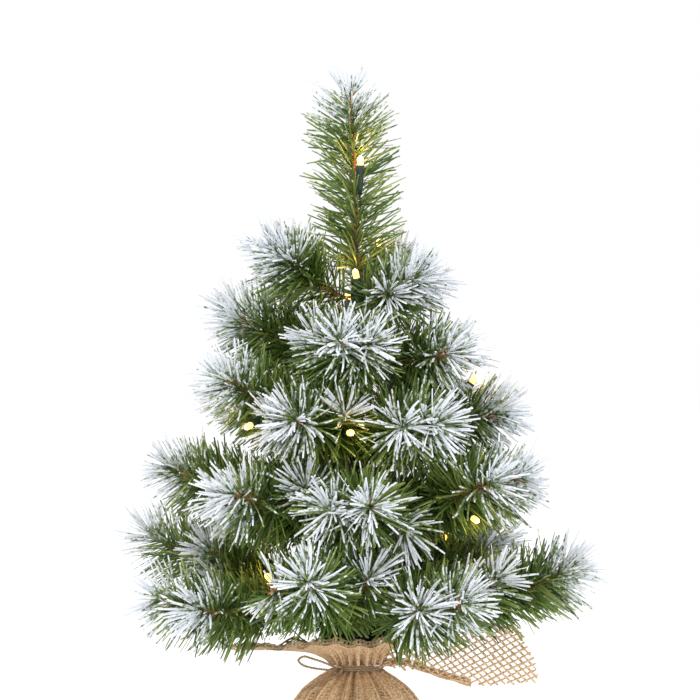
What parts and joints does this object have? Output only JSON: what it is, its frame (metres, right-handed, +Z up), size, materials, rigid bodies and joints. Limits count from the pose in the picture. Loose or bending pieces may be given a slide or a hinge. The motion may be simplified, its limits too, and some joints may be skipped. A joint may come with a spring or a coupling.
{
  "type": "artificial tabletop tree",
  "caption": "Small lit artificial tree with frosted needles on bendable wire branches, its weighted foot gathered in burlap and tied with twine.",
  "frame": {"origin": "middle of the flat foot, on the surface it stands on", "axes": "+Z up along the trunk, -Y the front, +X to the right seen from the front"},
  "size_m": [0.3826, 0.3496, 0.6002],
  "materials": {
    "foliage": "soft PVC needles, frosted white over their outer ends",
    "lamp": "dark green holder with a clear warm-white lens",
    "pot_plastic": "thin moulded plastic",
    "cement": "rough cast cement",
    "wrapped_pole": "steel pole wound with brown tape",
    "burlap": "open plain weave of jute yarn",
    "twine": "two-ply jute",
    "wire_plastic": "dark green insulated wire",
    "case_plastic": "moulded, fine texture",
    "switch_plastic": "moulded",
    "cell": "plain printed jacket",
    "contact_steel": "nickel plated",
    "board": "green circuit board",
    "tie_nylon": "nylon"
  },
  "bodies": {
    "root": {"base_pot": "pot_plastic", "weight_block": "cement", "trunk_pole": "wrapped_pole", "leader": "foliage", "burlap_wrap": "burlap", "twine_tie": "twine", "twine_loop": "twine", "twine_tail": "twine", "light_wire": "wire_plastic", "lamp_1": "lamp", "lamp_2": "lamp", "battery_case": "case_plastic", "battery_cell_1": "cell", "battery_cell_2": "cell", "contact_left": "contact_steel", "contact_right": "contact_steel", "circuit_board": "board", "case_tie": "tie_nylon"},
    "branch_top_1": {"branch_top_1": "foliage"},
    "branch_top_2": {"branch_top_2": "foliage"},
    "branch_top_3": {"branch_top_3": "foliage", "lamp_8": "lamp"},
    "branch_upper_1": {"branch_upper_1": "foliage"},
    "branch_upper_2": {"branch_upper_2": "foliage"},
    "branch_upper_3": {"branch_upper_3": "foliage"},
    "branch_upper_4": {"branch_upper_4": "foliage", "lamp_9": "lamp"},
    "branch_middle_1": {"branch_middle_1": "foliage", "lamp_7": "lamp"},
    "branch_middle_2": {"branch_middle_2": "foliage", "lamp_4": "lamp"},
    "branch_middle_3": {"branch_middle_3": "foliage"},
    "branch_middle_4": {"branch_middle_4": "foliage", "lamp_3": "lamp"},
    "branch_middle_5": {"branch_middle_5": "foliage", "lamp_10": "lamp"},
    "branch_middle_6": {"branch_middle_6": "foliage", "lamp_11": "lamp"},
    "branch_lower_1": {"branch_lower_1": "foliage"},
    "branch_lower_2": {"branch_lower_2": "foliage"},
    "branch_lower_3": {"branch_lower_3": "foliage"},
    "branch_lower_4": {"branch_lower_4": "foliage", "lamp_5": "lamp"},
    "branch_lower_5": {"branch_lower_5": "foliage", "lamp_13": "lamp"},
    "branch_lower_6": {"branch_lower_6": "foliage", "lamp_12": "lamp"},
    "branch_bottom_1": {"branch_bottom_1": "foliage", "lamp_15": "lamp"},
    "branch_bottom_2": {"branch_bottom_2": "foliage", "lamp_6": "lamp"},
    "branch_bottom_3": {"branch_bottom_3": "foliage"},
    "branch_bottom_4": {"branch_bottom_4": "foliage"},
    "branch_bottom_5": {"branch_bottom_5": "foliage"},
    "branch_bottom_6": {"branch_bottom_6": "foliage", "lamp_14": "lamp"},
    "branch_bottom_7": {"branch_bottom_7": "foliage"},
    "battery_cover": {"battery_cover": "case_plastic"},
    "switch_knob": {"switch_knob": "switch_plastic"}
  },
  "joints": [
    {"name": "branch_top_1_bend", "type": "hinge", "parent": "root", "child": "branch_top_1", "pos_m": [-0.00733, -0.00267, 0.408], "axis": [-0.342, 0.9397, 0], "range_deg": [-12, 30]},
    {"name": "branch_top_2_bend", "type": "hinge", "parent": "root", "child": "branch_top_2", "pos_m": [0.00542, -0.00561, 0.402], "axis": [-0.7193, -0.6947, 0], "range_deg": [-12, 30]},
    {"name": "branch_top_3_bend", "type": "hinge", "parent": "root", "child": "branch_top_3", "pos_m": [0.00366, 0.00689, 0.405], "axis": [0.8829, -0.4695, 0], "range_deg": [-12, 30]},
    {"name": "branch_upper_1_bend", "type": "hinge", "parent": "root", "child": "branch_upper_1", "pos_m": [-0.0075, 0.00215, 0.358], "axis": [0.2756, 0.9613, 0], "range_deg": [-12, 30]},
    {"name": "branch_upper_2_bend", "type": "hinge", "parent": "root", "child": "branch_upper_2", "pos_m": [-0.00109, -0.00772, 0.352], "axis": [-0.9903, 0.1392, 0], "range_deg": [-12, 30]},
    {"name": "branch_upper_3_bend", "type": "hinge", "parent": "root", "child": "branch_upper_3", "pos_m": [0.00723, -0.00292, 0.354], "axis": [-0.3746, -0.9272, 0], "range_deg": [-12, 30]},
    {"name": "branch_upper_4_bend", "type": "hinge", "parent": "root", "child": "branch_upper_4", "pos_m": [-0.00082, 0.00776, 0.356], "axis": [0.9945, 0.1045, 0], "range_deg": [-12, 30]},
    {"name": "branch_middle_1_bend", "type": "hinge", "parent": "root", "child": "branch_middle_1", "pos_m": [-0.00661, -0.00413, 0.302], "axis": [-0.5299, 0.848, 0], "range_deg": [-12, 30]},
    {"name": "branch_middle_2_bend", "type": "hinge", "parent": "root", "child": "branch_middle_2", "pos_m": [-0.0033, -0.00707, 0.298], "axis": [-0.9063, 0.4226, 0], "range_deg": [-12, 30]},
    {"name": "branch_middle_3_bend", "type": "hinge", "parent": "root", "child": "branch_middle_3", "pos_m": [0.00413, -0.00661, 0.299], "axis": [-0.848, -0.5299, 0], "range_deg": [-12, 30]},
    {"name": "branch_middle_4_bend", "type": "hinge", "parent": "root", "child": "branch_middle_4", "pos_m": [0.00776, 0.00082, 0.301], "axis": [0.1045, -0.9945, 0], "range_deg": [-12, 30]},
    {"name": "branch_middle_5_bend", "type": "hinge", "parent": "root", "child": "branch_middle_5", "pos_m": [0.00436, 0.00647, 0.303], "axis": [0.829, -0.5592, 0], "range_deg": [-12, 30]},
    {"name": "branch_middle_6_bend", "type": "hinge", "parent": "root", "child": "branch_middle_6", "pos_m": [-0.00552, 0.00552, 0.3], "axis": [0.7071, 0.7071, 0], "range_deg": [-12, 30]},
    {"name": "branch_lower_1_bend", "type": "hinge", "parent": "root", "child": "branch_lower_1", "pos_m": [-0.00776, -0.00082, 0.238], "axis": [-0.1045, 0.9945, 0], "range_deg": [-12, 30]},
    {"name": "branch_lower_2_bend", "type": "hinge", "parent": "root", "child": "branch_lower_2", "pos_m": [-0.00542, -0.00561, 0.234], "axis": [-0.7193, 0.6947, 0], "range_deg": [-12, 30]},
    {"name": "branch_lower_3_bend", "type": "hinge", "parent": "root", "child": "branch_lower_3", "pos_m": [0.00054, -0.00778, 0.236], "axis": [-0.9976, -0.0698, 0], "range_deg": [-12, 30]},
    {"name": "branch_lower_4_bend", "type": "hinge", "parent": "root", "child": "branch_lower_4", "pos_m": [0.00701, -0.00342, 0.237], "axis": [-0.4384, -0.8988, 0], "range_deg": [-12, 30]},
    {"name": "branch_lower_5_bend", "type": "hinge", "parent": "root", "child": "branch_lower_5", "pos_m": [0.00675, 0.0039, 0.235], "axis": [0.5, -0.866, 0], "range_deg": [-12, 30]},
    {"name": "branch_lower_6_bend", "type": "hinge", "parent": "root", "child": "branch_lower_6", "pos_m": [-0.00189, 0.00757, 0.236], "axis": [0.9703, 0.2419, 0], "range_deg": [-12, 30]},
    {"name": "branch_bottom_1_bend", "type": "hinge", "parent": "root", "child": "branch_bottom_1", "pos_m": [-0.00742, 0.00241, 0.158], "axis": [0.309, 0.9511, 0], "range_deg": [-12, 30]},
    {"name": "branch_bottom_2_bend", "type": "hinge", "parent": "root", "child": "branch_bottom_2", "pos_m": [-0.00728, -0.0028, 0.154], "axis": [-0.3584, 0.9336, 0], "range_deg": [-12, 30]},
    {"name": "branch_bottom_3_bend", "type": "hinge", "parent": "root", "child": "branch_bottom_3", "pos_m": [-0.00189, -0.00757, 0.162], "axis": [-0.9703, 0.2419, 0], "range_deg": [-12, 30]},
    {"name": "branch_bottom_4_bend", "type": "hinge", "parent": "root", "child": "branch_bottom_4", "pos_m": [0.00436, -0.00647, 0.156], "axis": [-0.829, -0.5592, 0], "range_deg": [-12, 30]},
    {"name": "branch_bottom_5_bend", "type": "hinge", "parent": "root", "child": "branch_bottom_5", "pos_m": [0.00768, -0.00135, 0.15], "axis": [-0.1736, -0.9848, 0], "range_deg": [-12, 30]},
    {"name": "branch_bottom_6_bend", "type": "hinge", "parent": "root", "child": "branch_bottom_6", "pos_m": [0.00561, 0.00542, 0.164], "axis": [0.6947, -0.7193, 0], "range_deg": [-12, 30]},
    {"name": "branch_bottom_7_bend", "type": "hinge", "parent": "root", "child": "branch_bottom_7", "pos_m": [0.00135, 0.00768, 0.188], "axis": [0.9848, -0.1736, 0], "range_deg": [-12, 30]},
    {"name": "battery_cover_off", "type": "slide", "parent": "root", "child": "battery_cover", "axis": [0, 1, 0], "range_m": [0, 0.03]},
    {"name": "switch_slide", "type": "slide", "parent": "root", "child": "switch_knob", "axis": [0, 0, -1], "range_m": [0, 0.0052]}
  ]
}
